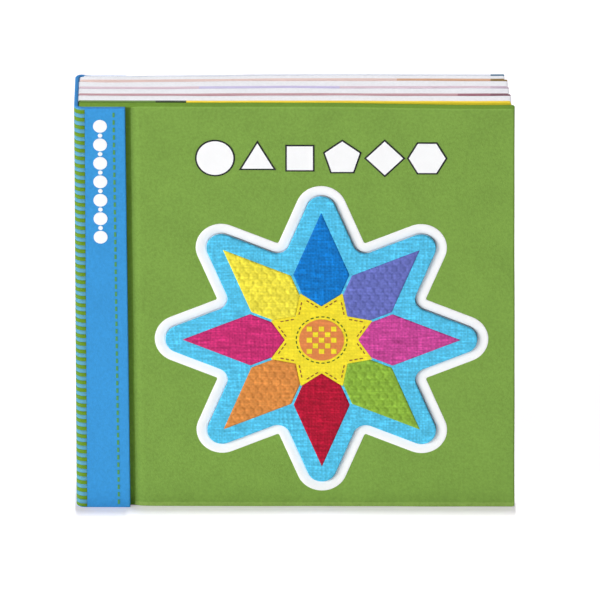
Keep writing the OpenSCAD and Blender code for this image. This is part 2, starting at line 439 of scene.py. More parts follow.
def finish_mesh(mesh: bmesh.types.BMesh, name: str) -> bpy.types.Object:
    """Makes a smooth object of a closed mesh.

    Args:
        mesh: The mesh, which is freed.
        name: The object's name.

    Returns:
        The new object.
    """
    bmesh.ops.recalc_face_normals(mesh, faces=mesh.faces)
    for face in mesh.faces:
        face.smooth = True
    data = bpy.data.meshes.new(name)
    mesh.to_mesh(data)
    mesh.free()
    return add_object(name, data)


def slab(
    name: str,
    loops: Sequence[np.ndarray],
    thickness: float,
    rim: Rim,
    place: Place,
    shaping: Shaping | None = None,
) -> bpy.types.Object:
    """Makes one sheet of foam or film as an object.

    Args:
        name: The object's name.
        loops: Its outline and cut-outs, as add_slab takes them.
        thickness: Its thickness.
        rim: Its round edges.
        place: Puts X, Z and depth into the book's frame.
        shaping: What makes it uneven, if anything.

    Returns:
        The new object.
    """
    mesh = bmesh.new()
    add_slab(mesh, loops, thickness, rim, place, shaping)
    return finish_mesh(mesh, name)


def ribbon(name: str, rings: Sequence[tuple[np.ndarray, float]], place: Place) -> bpy.types.Object:
    """Makes a closed band from rings of as many points, each at its depth, the last joined to the first.

    Args:
        name: The object's name.
        rings: Each ring's outline and depth.
        place: Puts X, Z and depth into the book's frame.

    Returns:
        The new object.
    """
    mesh = bmesh.new()
    made = [[mesh.verts.new(place(p[0], p[1], depth)) for p in loop] for loop, depth in rings]
    for a, b in zip(made, [*made[1:], made[0]]):
        join_rings(mesh, a, b)
    return finish_mesh(mesh, name)


def relief(
    name: str,
    loop: np.ndarray,
    step: float,
    height: Callable[[np.ndarray, np.ndarray], np.ndarray],
    place: Place,
) -> bpy.types.Object:
    """Makes a printed field whose surface rises and falls.

    Args:
        name: The object's name.
        loop: Its outline against the clock.
        step: Distance between its points.
        height: Gives each point's height from its place and its distance from the outline.
        place: Puts X, Z and depth into the book's frame.

    Returns:
        The new object.
    """
    low, high = loop.min(axis=0), loop.max(axis=0)
    rows, columns = np.arange(low[1], high[1], step * HEX_ROW), np.arange(low[0], high[0], step)
    grid = np.array([(x + step / 2 * (k % 2), z) for k, z in enumerate(rows) for x in columns])
    grid = grid[inside(grid, [loop])]
    grid = grid[nearest_side(grid, loop) > 0.45 * step]
    points = np.concatenate([loop, grid])
    rise = height(points, np.concatenate([np.zeros(len(loop)), nearest_side(grid, loop)]))
    mesh = bmesh.new()
    top = [mesh.verts.new(place(p[0], p[1], -h)) for p, h in zip(points, rise)]
    for f in triangles([loop], grid):
        mesh.faces.new([top[v] for v in f])
    foot = [mesh.verts.new(place(p[0], p[1], PRINT_ROOT)) for p in loop]
    join_rings(mesh, top[: len(loop)], foot)
    mesh.faces.new(foot)
    return finish_mesh(mesh, name)


def honeycomb(points: np.ndarray, pitch: float) -> np.ndarray:
    """Measures how far each point lies from the nearest side of a honeycomb's cells.

    Args:
        points: The points.
        pitch: Distance between two cells' middles.

    Returns:
        One distance for each point.
    """
    best, offset = np.full(len(points), 1e9), np.zeros_like(points)
    row = np.floor(points[:, 1] / (pitch * HEX_ROW))
    for r in (row, row + 1):
        column = np.round(points[:, 0] / pitch - r / 2)
        delta = points - np.stack([(column + r / 2) * pitch, r * pitch * HEX_ROW], axis=1)
        away = np.linalg.norm(delta, axis=1)
        offset = np.where((away < best)[:, None], delta, offset)
        best = np.minimum(best, away)
    reach = np.max([np.abs(offset @ unit(a)) for a in (0, 60, 120)], axis=0)
    return pitch / 2 - reach


# Finishes


class Finish(Enum):
    """How a surface is finished."""

    FOAM = "closed-cell foam"
    FILM = "satin film"
    PRINT = "satin print"
    WOVEN = "print with a linen weave"


class Axis(Enum):
    """The way in which a stretch of colour runs."""

    ACROSS = "Across"
    DEEP = "Deep"
    HIGH = "High"


@dataclass(frozen=True)
class Span:
    """A stretch of a sheet in another colour, between two places along an axis."""

    start: float
    end: float
    colour: Colour
    axis: Axis = Axis.ACROSS


@dataclass(frozen=True)
class Coat:
    """The finish of one material slot."""

    slot: str
    colour: Colour
    finish: Finish
    roughness: float = 0.55
    grain: float = 1.0
    spans: tuple[Span, ...] = ()


class Graph:
    """Adds and links the nodes of one node tree."""

    def __init__(self, tree: bpy.types.NodeTree) -> None:
        """Keeps the tree that the nodes go into."""
        self.tree = tree

    def node(self, kind: str, **settings: object) -> bpy.types.Node:
        """Adds a node.

        Args:
            kind: The node's type.
            **settings: Its properties.

        Returns:
            The new node.
        """
        made = self.tree.nodes.new(kind)
        for name, value in settings.items():
            setattr(made, name, value)
        return made

    def feed(self, socket: Socket, value: object) -> None:
        """Links an input to an output, or sets the input's value.

        Args:
            socket: The input.
            value: An output socket, or the value.
        """
        if isinstance(value, Socket):
            self.tree.links.new(value, socket)
        else:
            socket.default_value = value

    def math(self, operation: str, a: object, b: object = 0.0) -> Socket:
        """Adds a sum of one or two values.

        Args:
            operation: The Math node's operation.
            a: The first value.
            b: The second value.

        Returns:
            The result's socket.
        """
        made = self.node("ShaderNodeMath", operation=operation)
        self.feed(made.inputs[0], a)
        self.feed(made.inputs[1], b)
        return made.outputs[0]

    def between(self, share: object, low: float, high: float) -> Socket:
        """Goes from one value to another.

        Args:
            share: How far to go, from 0 to 1.
            low: The value at 0.
            high: The value at 1.

        Returns:
            The result's socket.
        """
        made = self.node("ShaderNodeMapRange")
        for name, given in (("Value", share), ("To Min", low), ("To Max", high)):
            self.feed(made.inputs[name], given)
        return made.outputs["Result"]

    def noise(self, vector: Socket, scale: object, detail: float = 2.0) -> Socket:
        """Adds a noise of a given scale.

        Args:
            vector: Where it is read.
            scale: Its scale.
            detail: Its detail.

        Returns:
            The noise's socket, from 0 to 1.
        """
        made = self.node("ShaderNodeTexNoise")
        self.feed(made.inputs["Vector"], vector)
        self.feed(made.inputs["Scale"], scale)
        self.feed(made.inputs["Detail"], detail)
        return made.outputs["Fac"]

    def swing(self, vector: Socket, scale: object, detail: float = 2.0) -> Socket:
        """Adds a noise that swings about 0."""
        return self.math("SUBTRACT", self.noise(vector, scale, detail), 0.5)

    def times(self, a: object, b: object) -> Socket:
        """Multiplies two values."""
        return self.math("MULTIPLY", a, b)

    def plus(self, a: object, b: object) -> Socket:
        """Adds two values."""
        return self.math("ADD", a, b)

    def mix(self, factor: object, a: object, b: object, blend: str = "MIX") -> Socket:
        """Mixes two colours.

        Args:
            factor: Share of the second colour.
            a: The first colour.
            b: The second colour.
            blend: How they are mixed.

        Returns:
            The mixed colour's socket.
        """
        made = self.node("ShaderNodeMix", data_type="RGBA", blend_type=blend)
        colour_a, colour_b, result = 6, 7, 2  # the colour sockets share their names with others
        self.feed(made.inputs["Factor"], factor)
        self.feed(made.inputs[colour_a], a)
        self.feed(made.inputs[colour_b], b)
        return made.outputs[result]


class Group(Graph):
    """The inside of an effect's node group."""

    def __init__(self, tree: bpy.types.NodeTree) -> None:
        """Adds the nodes that hold the group's inputs and outputs.

        Args:
            tree: The group's node tree.
        """
        super().__init__(tree)
        self.given = self.node("NodeGroupInput").outputs
        self.out = self.node("NodeGroupOutput").inputs

    def put(self, name: str, value: object) -> None:
        """Sets one of the group's outputs."""
        self.feed(self.out[name], value)


class Effect:
    """A shader node group that several finishes share."""

    name: str = ""
    takes: dict[str, float] = {}
    gives: tuple[str, ...] = ()

    def wire(self, group: Group) -> None:
        """Builds the effect inside its group."""
        raise NotImplementedError

    def tree(self) -> bpy.types.NodeTree:
        """Finds the effect's node tree, or builds it on first use.

        Returns:
            The node tree.
        """
        found = bpy.data.node_groups.get(self.name)
        if found:
            return found
        made = bpy.data.node_groups.new(self.name, "ShaderNodeTree")
        made.interface.new_socket("Vector", in_out="INPUT", socket_type="NodeSocketVector")
        for name, value in self.takes.items():
            socket = made.interface.new_socket(name, in_out="INPUT", socket_type="NodeSocketFloat")
            socket.default_value = value
        for name in self.gives:
            made.interface.new_socket(name, in_out="OUTPUT", socket_type="NodeSocketFloat")
        self.wire(Group(made))
        return made

    def place(self, graph: Graph, vector: Socket, **values: float) -> bpy.types.Node:
        """Places the group in a material.

        Args:
            graph: The material's graph.
            vector: Where the effect is read, in millimetres.
            **values: The group's own values for this material.

        Returns:
            The group's node.
        """
        made = graph.node("ShaderNodeGroup")
        made.node_tree = self.tree()
        for name, value in {"Vector": vector, **values}.items():
            graph.feed(made.inputs[name], value)
        return made


class FoamGrain(Effect):
    """Fine skin of closed-cell foam: small cells in a slightly cloudy colour."""

    name = "Foam grain"
    takes = {"Cell": 0.7, "Mottle": 0.1}
    gives = ("Shade", "Height")

    def wire(self, group: Group) -> None:
        """Mixes small cells with a fine noise; a broad noise clouds the shade.

        Args:
            group: The group's graph.
        """
        vector, cell = group.given["Vector"], group.given["Cell"]
        cells = group.node("ShaderNodeTexVoronoi", feature="SMOOTH_F1")
        group.feed(cells.inputs["Vector"], vector)
        group.feed(cells.inputs["Scale"], group.math("DIVIDE", 1.0, cell))
        fine = group.noise(vector, group.math("DIVIDE", 1.3, cell), 3.0)
        group.put("Height", group.plus(group.times(cells.outputs["Distance"], 0.5), fine))
        cloud, speck = group.times(group.swing(vector, 0.05), 0.5), group.swing(vector, 0.8)
        tint = group.times(group.plus(cloud, speck), group.given["Mottle"])
        group.put("Shade", group.plus(1.0, tint))


class LinenWeave(Effect):
    """Plain weave of a pressed linen print, with uneven threads that come and go in streaks."""

    name = "Linen weave"
    takes = {"Pitch": 1.1, "Contrast": 0.16}
    gives = ("Shade", "Height")

    def streaks(self, group: Group, along: str) -> Socket:
        """Draws the uneven threads of one direction.

        Args:
            group: The group's graph.
            along: The axis that they run along, X or Z.

        Returns:
            A value that swings about 0.
        """
        long, across = (group.times(group.given["Pitch"], pitches) for pitches in (7.0, 1.1))
        sides = group.node("ShaderNodeCombineXYZ")
        for axis in "XYZ":
            group.feed(sides.inputs[axis], long if axis == along else across)
        scaled = group.node("ShaderNodeVectorMath", operation="DIVIDE")
        group.feed(scaled.inputs[0], group.given["Vector"])
        group.feed(scaled.inputs[1], sides.outputs[0])
        return group.swing(scaled.outputs[0], 1.0, 1.0)

    def wire(self, group: Group) -> None:
        """Crosses two rows of even threads, and lays uneven ones over them, the proud ones paler.

        Args:
            group: The group's graph.
        """
        vector = group.given["Vector"]
        split = group.node("ShaderNodeSeparateXYZ")
        group.feed(split.inputs[0], vector)
        bend = group.times(group.swing(vector, 0.3), 1.2)
        rows = []
        for axis in ("X", "Z"):
            turns = group.math("DIVIDE", group.plus(split.outputs[axis], bend), group.given["Pitch"])
            rows.append(group.math("SINE", group.times(turns, math.pi)))
        even = group.times(*rows)
        level = group.times(self.streaks(group, "X"), 1.9)
        upright = group.times(self.streaks(group, "Z"), 1.2)
        uneven = group.plus(level, upright)
        height = group.plus(group.times(even, 0.16), uneven)
        group.put("Height", height)
        pale = group.times(group.math("MAXIMUM", group.math("SUBTRACT", uneven, 0.1), 0.0), 1.3)
        tint = group.times(group.plus(height, pale), group.given["Contrast"])
        group.put("Shade", group.plus(0.985, tint))


class InkMottle(Effect):
    """Uneven ink and gloss of a print on soft foam."""

    name = "Ink mottle"
    takes = {"Amount": 0.03}
    gives = ("Shade", "Gloss", "Height")

    def wire(self, group: Group) -> None:
        """Uses a broad noise for the ink and a fine one for the gloss.

        Args:
            group: The group's graph.
        """
        vector = group.given["Vector"]
        tint = group.times(group.swing(vector, 0.12, 3.0), group.given["Amount"])
        fine = group.noise(vector, 1.6, 3.0)
        group.put("Shade", group.plus(1.0, tint))
        group.put("Gloss", group.times(group.math("SUBTRACT", fine, 0.5), 0.16))
        group.put("Height", fine)


class PrintSpan(Effect):
    """Marks a stretch of a sheet between two places along each of the book's axes."""

    name = "Print span"
    takes = {"Start": 0.0, "End": 1.0}
    gives = ("Across", "Deep", "High")

    def wire(self, group: Group) -> None:
        """Compares the place along each axis with both ends.

        Args:
            group: The group's graph.
        """
        split = group.node("ShaderNodeSeparateXYZ")
        group.feed(split.inputs[0], group.given["Vector"])
        for name, place in zip(self.gives, split.outputs):
            after = group.math("GREATER_THAN", place, group.given["Start"])
            before = group.math("LESS_THAN", place, group.given["End"])
            group.put(name, group.times(after, before))


def linear(colour: Colour) -> tuple[float, float, float, float]:
    """Turns a colour of 0 to 255 into the values that a shader takes."""
    parts = [c / 255 for c in colour]
    return (*[p / 12.92 if p <= 0.04045 else ((p + 0.055) / 1.055) ** 2.4 for p in parts], 1.0)


@dataclass(frozen=True)
class Skin:
    """How a finish is made: its effect, how strong that is at a grain of 1, its bump and its gloss.

    even holds the effect's values that don't change with the grain. The bump is in millimetres.
    """

    effect: Effect
    strength: str
    amount: float
    bump: float
    specular: float
    even: tuple[tuple[str, float], ...] = ()

    def place(self, graph: Graph, at: Socket, grain: float) -> bpy.types.Node:
        """Places the effect in a material.

        Args:
            graph: The material's graph.
            at: Where the effect is read, in millimetres.
            grain: How coarse the surface is.

        Returns:
            The effect's node.
        """
        return self.effect.place(graph, at, **{self.strength: self.amount * grain}, **dict(self.even))


SKINS: dict[Finish, Skin] = {
    Finish.FOAM: Skin(FoamGrain(), "Mottle", 0.34, 0.09, 0.12, even=(("Cell", 0.75),)),
    Finish.FILM: Skin(InkMottle(), "Amount", 0.08, 0.02, 0.3),
    Finish.PRINT: Skin(InkMottle(), "Amount", 0.08, 0.02, 0.14),
    Finish.WOVEN: Skin(LinenWeave(), "Contrast", 0.32, 0.18, 0.12),
}


class Dresser:
    """Makes each finish's material once and gives it to pieces."""

    def __init__(self) -> None:
        """Starts with no materials."""
        self.made: dict[str, bpy.types.Material] = {}

    def material(self, coat: Coat) -> bpy.types.Material:
        """Makes or finds a finish's material.

        Args:
            coat: The finish.

        Returns:
            Its material.
        """
        key = f"{coat.slot}_{coat.finish.name.lower()}_{len(coat.spans)}_{coat.colour[0]}"
        if key in self.made:
            return self.made[key]
        made = bpy.data.materials.new(key)
        made.use_nodes = True
        graph = Graph(made.node_tree)
        shader = made.node_tree.nodes["Principled BSDF"].inputs
        in_mm = graph.node("ShaderNodeVectorMath", operation="SCALE")
        graph.feed(in_mm.inputs[0], graph.node("ShaderNodeTexCoord").outputs["Object"])
        graph.feed(in_mm.inputs["Scale"], 1 / MM)
        at = in_mm.outputs[0]
        colour: object = linear(coat.colour)
        for span in coat.spans:
            mask = PrintSpan().place(graph, at, Start=span.start, End=span.end)
            colour = graph.mix(mask.outputs[span.axis.value], colour, linear(span.colour))
        skin = SKINS[coat.finish]
        effect = skin.place(graph, at, coat.grain).outputs
        graph.feed(shader["Roughness"], coat.roughness)
        graph.feed(shader["Specular IOR Level"], skin.specular)
        if "Gloss" in skin.effect.gives:
            graph.feed(shader["Roughness"], graph.plus(coat.roughness, effect["Gloss"]))
        graph.feed(shader["Base Color"], graph.mix(1.0, colour, effect["Shade"], "MULTIPLY"))
        bump = graph.node("ShaderNodeBump")
        graph.feed(bump.inputs["Distance"], skin.bump * coat.grain * MM)
        graph.feed(bump.inputs["Height"], effect["Height"])
        graph.feed(shader["Normal"], bump.outputs["Normal"])
        self.made[key] = made
        return made

    def dress(self, piece: bpy.types.Object, coat: Coat) -> None:
        """Gives a piece a finish.

        Args:
            piece: The piece.
            coat: Its finish.
        """
        piece.data.materials.clear()
        piece.data.materials.append(self.material(coat))

    def seat(self, piece: bpy.types.Object, coat: Coat, node: str, body: str) -> None:
        """Dresses a piece, which then stands for its CAD node and rides on a body.

        Args:
            piece: The piece.
            coat: Its finish.
            node: The CAD node that it replaces.
            body: The body that it moves with.
        """
        self.dress(piece, coat)
        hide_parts(node)
        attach(piece, body)
        LOG.info("built %s", piece.name)

    def dress_nodes(self, **coats: Coat) -> None:
        """Gives CAD nodes their finishes.

        Args:
            **coats: The finish of each node by its name.
        """
        for name, coat in coats.items():
            self.dress(frame["nodes"][name], coat)
            LOG.info("dressed %s", name)


def film(name: str, colour: Colour, *spans: Span) -> Coat:
    """Returns the finish of a printed film."""
    return Coat(f"film_{name}", colour, Finish.FILM, 0.5, spans=spans)


def ink(slot: str, colour: Colour, roughness: float = 0.6) -> Coat:
    """Returns the finish of plain print."""
    return Coat(slot, colour, Finish.PRINT, roughness)


# Painted highlight: a paler green on the board's lowest 2.4 mm and its bottom edge, standing in for light
# from the white floor.
FOOT_PAINTED_HIGHLIGHT = Span(-1, 2.4, (145, 178, 87), Axis.HIGH)
# Painted shade: a darker green on everything more than 0.75 mm behind the board's front face. That covers
# its top, side and bottom edges, its back, and the deepest part of the dips beside the wrap and in the spine
# corner.
EDGE_PAINTED_SHADE = Span(-18.3, 0, (108, 145, 52), Axis.DEEP)
# Painted shade: a darker blue on the top 1.5 mm of the wrap, over its top edge.
WRAP_TOP_PAINTED_SHADE = Span(214.5, 216, (60, 130, 192), Axis.HIGH)
BACK_TOP = Span(213.5, 216, (228, 232, 240), Axis.HIGH)

PAGE_FOAM = Coat("page_foam", (238, 238, 243), Finish.FOAM, 0.85, 0.6)
# Its spans are painted light: a highlight along the foot, and shade on the edges and in the deepest dips.
COVER_GREEN = Coat("cover_green", (126, 162, 72), Finish.FOAM, 0.8, 1.3, (FOOT_PAINTED_HIGHLIGHT, EDGE_PAINTED_SHADE))
# Its span paints shade along the wrap's top edge.
WRAP_BLUE = Coat("wrap_blue", (60, 152, 218), Finish.FOAM, 0.75, 0.85, (WRAP_TOP_PAINTED_SHADE,))
FILM_YELLOW = film(
    "yellow", (250, 218, 58), Span(-110, -68, (104, 136, 66)), Span(-68, -53, (46, 60, 38))
)
FILM_MAROON = film(
    "maroon", (192, 150, 156), Span(80, 96, (158, 105, 118)), Span(96, 120, (128, 84, 95))
)
FILM_LILAC = film(
    "lilac", (218, 196, 208), Span(-47, 22, (203, 194, 226)), Span(96, 120, (200, 180, 196))
)
FILM_ORANGE = film(
    "orange", (230, 202, 195), Span(50, 96, (212, 168, 138)), Span(96, 120, (140, 112, 62))
)
FILM_BLUE = film("blue", (70, 130, 190), BACK_TOP, Span(96, 120, (98, 132, 156)))
STRIPE_GREEN = ink("stripe_green", (99, 140, 31))
STRIPE_PALE = ink("stripe_pale_blue", (91, 158, 184))
STITCH_GREEN = ink("stitch_green", (85, 155, 90), 0.65)
STITCH_DARK = ink("stitch_dark_green", (60, 95, 35), 0.65)
STITCH_BROWN = ink("stitch_brown", (140, 80, 50), 0.65)
PRINT_WHITE = ink("print_white", (252, 252, 253))
PRINT_BLACK = ink("print_black", (35, 35, 38))
PRINT_YELLOW = Coat("print_yellow", (245, 225, 50), Finish.WOVEN, 0.55, 0.5)
PRINT_ORANGE = Coat("print_orange", (225, 135, 75), Finish.WOVEN, 0.55, 0.5)
PRINT_SKY_BLUE = Coat("print_sky_blue", (85, 195, 235), Finish.WOVEN, 0.5, 1.2)


# Pieces


class CoverSide(Enum):
    """The front or the back of the book, as the sign of its Y."""

    FRONT = -1
    BACK = 1


def node_span(name: str, axis: int) -> tuple[float, float]:
    """Returns a CAD node's lowest and highest place along an axis, in millimetres."""
    low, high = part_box(name)
    return low[axis] / MM, high[axis] / MM


@dataclass
class StarForm:
    """The outline of the star piece, with round points and round notches, and of its patchwork."""

    point_r: float = 7.0
    border_w: float = 5.2
    border_notch_r: float = 1.0
    gap: float = 0.4
    draw_in: float = 0.36
    draw_w: float = 3.6
    patch_margin: float = 8.0
    patch_gap: float = 1.2
    inner_reach: float = 27.0
    inner_root: float = 18.0
    points: int = 8
    tip_chords: int = 26
    notch_chords: int = 14
    flank_chords: int = 8
    centre: np.ndarray = field(init=False)
    reach: float = field(init=False)

    def __post_init__(self) -> None:
        """Takes the star's middle and reach from the CAD piece."""
        x, z = node_span("star_face", 0), node_span("star_face", 2)
        self.centre = np.array([sum(x) / 2, sum(z) / 2])
        self.reach = (z[1] - z[0]) / 2

    @property
    def half_step(self) -> float:
        """Half the angle between two points, in degrees."""
        return 180 / self.points

    def outline(self, grow: float) -> np.ndarray:
        """Draws the star grown outwards.

        Args:
            grow: How far it is grown.

        Returns:
            As many points for any growth, against the clock.
        """
        turn, flank = 2 * self.half_step, 90 - self.half_step
        point_c, point_r = self.reach - self.point_r, self.point_r + grow
        notch_r = self.border_notch_r + self.border_w + self.gap
        beside = point_c * math.sin(math.radians(self.half_step)) + self.point_r + notch_r
        notch_c = beside / math.cos(math.radians(flank - self.half_step))
        n = self.flank_chords
        out: list[np.ndarray] = []
        for k in range(self.points):
            a = 90 + turn * k
            tip = arc(point_c * unit(a), point_r, a - flank, a + flank, self.tip_chords)
            notch = notch_c * unit(a + self.half_step)
            dip = arc(notch, grow - notch_r, a + flank, a + turn - flank, self.notch_chords)
            run = [tip[-1] + (dip[0] - tip[-1]) * t / n for t in range(1, n)]
            climb_to = point_c * unit(a + turn) + point_r * unit(a + turn - flank)
            climb = [dip[-1] + (climb_to - dip[-1]) * t / n for t in range(1, n)]
            out += [*tip, *run, *dip, *climb]
        return np.array(out) + self.centre

    def drawn_in(self, away: np.ndarray | float) -> np.ndarray:
        """Returns how deep the cover's face dips at a distance from the star's outline."""
        return self.draw_in * (1 - smooth((np.asarray(away) - self.gap) / self.draw_w))

    def patch(self, k: int, step: float = 0.6) -> np.ndarray:
        """Draws the diamond-shaped patch on a point, with soft corners.

        Args:
            k: The point, counted from the top against the clock.
            step: Distance between the outline's points.

        Returns:
            The patch's outline against the clock.
        """
        root = self.patch_gap / 2 / math.sin(math.radians(self.half_step))
        far = self.reach - self.patch_margin
        mid, half_w = (root + far) / 2, (far - root) / 2 * math.tan(math.radians(self.half_step))
        start, along = np.array([root, 0.0]), unit(self.half_step)
        foot, edge = np.array([self.inner_root, 0.0]), self.inner_reach * unit(self.half_step)
        edge = edge - foot
        t = np.linalg.solve(np.stack([along, -edge], axis=1), foot - start)[0]
        side = start + along * t
        wide = np.array([mid, half_w])
        mirror = np.array([1, -1])
        corners = [foot, side * mirror, wide * mirror, np.array([far, 0.0]), wide, side]
        turned = unit(90 + 2 * self.half_step * k)
        turn = np.array([[turned[0], -turned[1]], [turned[1], turned[0]]])
        loop = spread(self.soften([turn @ c for c in corners]), step)
        return loop + self.centre

    def soften(self, corners: Sequence[np.ndarray], radius: float = 0.5) -> list[np.ndarray]:
        """Rounds an outline's corners a little.

        Args:
            corners: The outline's corners.
            radius: How far from each corner the rounding starts.

        Returns:
            The rounded outline's points.
        """
        out: list[np.ndarray] = []
        for k, corner in enumerate(corners):
            before, after = corners[k - 1] - corner, corners[(k + 1) % len(corners)] - corner
            a = corner + before / np.linalg.norm(before) * radius
            b = corner + after / np.linalg.norm(after) * radius
            out += [(1 - t) ** 2 * a + 2 * t * (1 - t) * corner + t * t * b for t in (0, 0.25, 0.5, 0.75, 1)]
        return out


@dataclass
class SpineWrap:
    """One half of the blue foam sheet, from the middle of the spine over a corner and on to a cover.

    Its top edge on the cover may drop a little: drop_along and drop_up say how far before the flat face and
    below the top that starts, and over what length it grows.
    """

    side: CoverSide
    thickness: float = 1.8
    corner_r: float = 4.0
    edge_top: float = 25.0
    edge_bottom: float = 26.5
    rim: float = 0.55
    stripe_pitch: float = 4.15
    stripe_h: float = 2.3
    band_w: float = 5.3
    print_t: float = 0.07
    fold_half: float = 0.55
    pivot_out: float = 0.15
    top_drop: float = 0.0
    drop_along: tuple[float, float] = (3.0, 7.0)
    drop_up: tuple[float, float] = (9.0, 8.0)
    edge_steps: tuple[float, ...] = (0.0, 0.06, 0.16, 0.3, 0.44)
    stripe_margin: float = 0.45
    stripe_slope: float = 0.1
    spine_x: float = field(init=False)
    face_y: float = field(init=False)
    height: float = field(init=False)

    def __post_init__(self) -> None:
        """Takes the sheet's place from the CAD pieces."""
        self.spine_x = node_span("spine_wrap", 0)[0]
        self.face_y = -node_span("front_strip", 1)[0]
        self.height = node_span("spine_wrap", 2)[1]

    def edge_x(self, z: float | np.ndarray) -> float | np.ndarray:
        """Returns the free edge's X at a height."""
        return self.spine_x + self.edge_bottom + (self.edge_top - self.edge_bottom) * z / self.height

    @property
    def spine_len(self) -> float:
        """Length of the flat spine in this half."""
        return self.face_y - self.corner_r

    @property
    def face_start(self) -> float:
        """Where the sheet leaves the corner, along the sheet."""
        return self.spine_len + self.corner_r * math.pi / 2

    def free_edge(self, z: float) -> float:
        """Returns the free edge's place along the sheet at a height."""
        return self.face_start + self.edge_x(z) - self.spine_x - self.corner_r

    def at(self, s: float, z: float, proud: float) -> tuple[float, float, float]:
        """Places a point of the sheet.

        Args:
            s: Distance along the sheet's outer face from the middle of the spine.
            z: Height.
            proud: Distance outside the outer face.

        Returns:
            The point in the book's frame, in metres.
        """
        along = smooth((s - self.face_start + self.drop_along[0]) / self.drop_along[1])
        up = smooth((z - self.height + self.drop_up[0]) / self.drop_up[1])
        z -= self.top_drop * float(along * up)
        if s < self.spine_len:
            x, y = self.spine_x - proud, s
        elif s < self.face_start:
            a = (s - self.spine_len) / self.corner_r
            reach = self.corner_r + proud
            x = self.spine_x + self.corner_r - reach * math.cos(a)
            y = self.spine_len + reach * math.sin(a)
        else:
            x, y = self.spine_x + self.corner_r + s - self.face_start, self.face_y + proud
        return x * MM, y * self.side.value * MM, z * MM

    def columns(self) -> list[float]:
        """Lists the places along the sheet that need a column of points.

        Returns:
            The places from the middle of the spine to the flat face, closest at the fold.
        """
        turn = self.spine_len
        fold = np.linspace(turn - 0.8, turn + 0.6, 9)
        corner = np.linspace(turn + 0.95, self.face_start, 14)
        return [*np.linspace(0, turn - 1.5, 8), *fold, *corner]

    def build(self) -> bpy.types.Object:
        """Makes the sheet, with round edges at its top, bottom and free edge.

        Returns:
            The new object.
        """
        near = [*self.edge_steps, self.rim]
        rows = [*near, *np.linspace(4, self.height - 4, 38), *[self.height - e for e in reversed(near)]]
        fixed = self.columns()
        mesh = bmesh.new()
        layers: tuple[list, list] = ([], [])
        for z in rows:
            end = self.free_edge(z)
            flat = end - self.rim - self.face_start
            face = [self.face_start + flat * t for t in np.linspace(0.1, 0.95, 9)]
            stops = [*fixed, *face, *[end - e for e in reversed(near)]]
            into_top = max(self.rim - min(z, self.height - z), 0)
            into_edge = [math.hypot(max(self.rim - (end - s), 0), into_top) for s in stops]
            drops = round_drop(self.rim - np.array(into_edge), self.rim)
            for layer, proud in zip(layers, (-drops, drops - self.thickness)):
                layer.append([mesh.verts.new(self.at(s, z, d)) for s, d in zip(stops, proud)])
        outer, inner = layers
        rows_to_join = [pair for layer in layers for pair in zip(layer, layer[1:])]
        for a, b in (*rows_to_join, (outer[0], inner[0]), (outer[-1], inner[-1])):
            for k in range(len(a) - 1):
                mesh.faces.new((a[k], a[k + 1], b[k + 1], b[k]))
        for k in (0, -1):
            for a, b, c, d in zip(outer, outer[1:], inner, inner[1:]):
                mesh.faces.new((a[k], b[k], d[k], c[k]))
        return finish_mesh(mesh, f"{self.side.name.lower()}_wrap")

    def bands(self, start: float, high: float, name: str) -> bpy.types.Object:
        """Makes one colour of the striped band, as thin print that follows the sheet.

        Args:
            start: Height of the lowest stripe.
            high: Height of each stripe.
            name: The object's name.

        Returns:
            The stripes as one object.
        """
        end = self.face_start + self.band_w - self.corner_r
        stops = [*self.columns(), (self.face_start + end) / 2, end - 0.12, end]
        margin, slope, root = self.stripe_margin, self.stripe_slope, -PRINT_ROOT
        mesh = bmesh.new()
        for z in np.arange(start, self.height - 2 * margin, self.stripe_pitch):
            low, top = max(z, margin), min(z + high, self.height - margin)
            levels = ((low, root), (low + slope, self.print_t), (top - slope, self.print_t), (top, root))
            rings = [
                [mesh.verts.new(self.at(s, level, root if s == end else h)) for level, h in levels]
                for s in stops
            ]
            for a, b in zip(rings, rings[1:]):
                join_rings(mesh, a, b)
            mesh.faces.new(rings[0])
            mesh.faces.new(rings[-1])
        return finish_mesh(mesh, name)

    def dress(self, dresser: Dresser) -> None:
        """Builds the sheet and its stripes, dresses them and hides the CAD pieces that they stand for.

        Args:
            dresser: Gives the pieces their finishes.
        """
        word = self.side.name.lower()
        sheet = self.build()
        pale = self.bands(self.stripe_h, self.stripe_pitch - self.stripe_h, f"{word}_band_pale")
        green = self.bands(0.0, self.stripe_h, f"{word}_band_green")
        spine = self.side is CoverSide.FRONT
        for piece, coat, node, shared in (
            (sheet, WRAP_BLUE, "strip", "spine_wrap"),
            (pale, STRIPE_PALE, "pale_stripes", "spine_pale_stripes"),
            (green, STRIPE_GREEN, "green_stripes", "spine_green_stripes"),
        ):
            dresser.dress(piece, coat)
            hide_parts(f"{word}_{node}", *([shared] if spine else []))
            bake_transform(piece)
            LOG.info("built %s", piece.name)


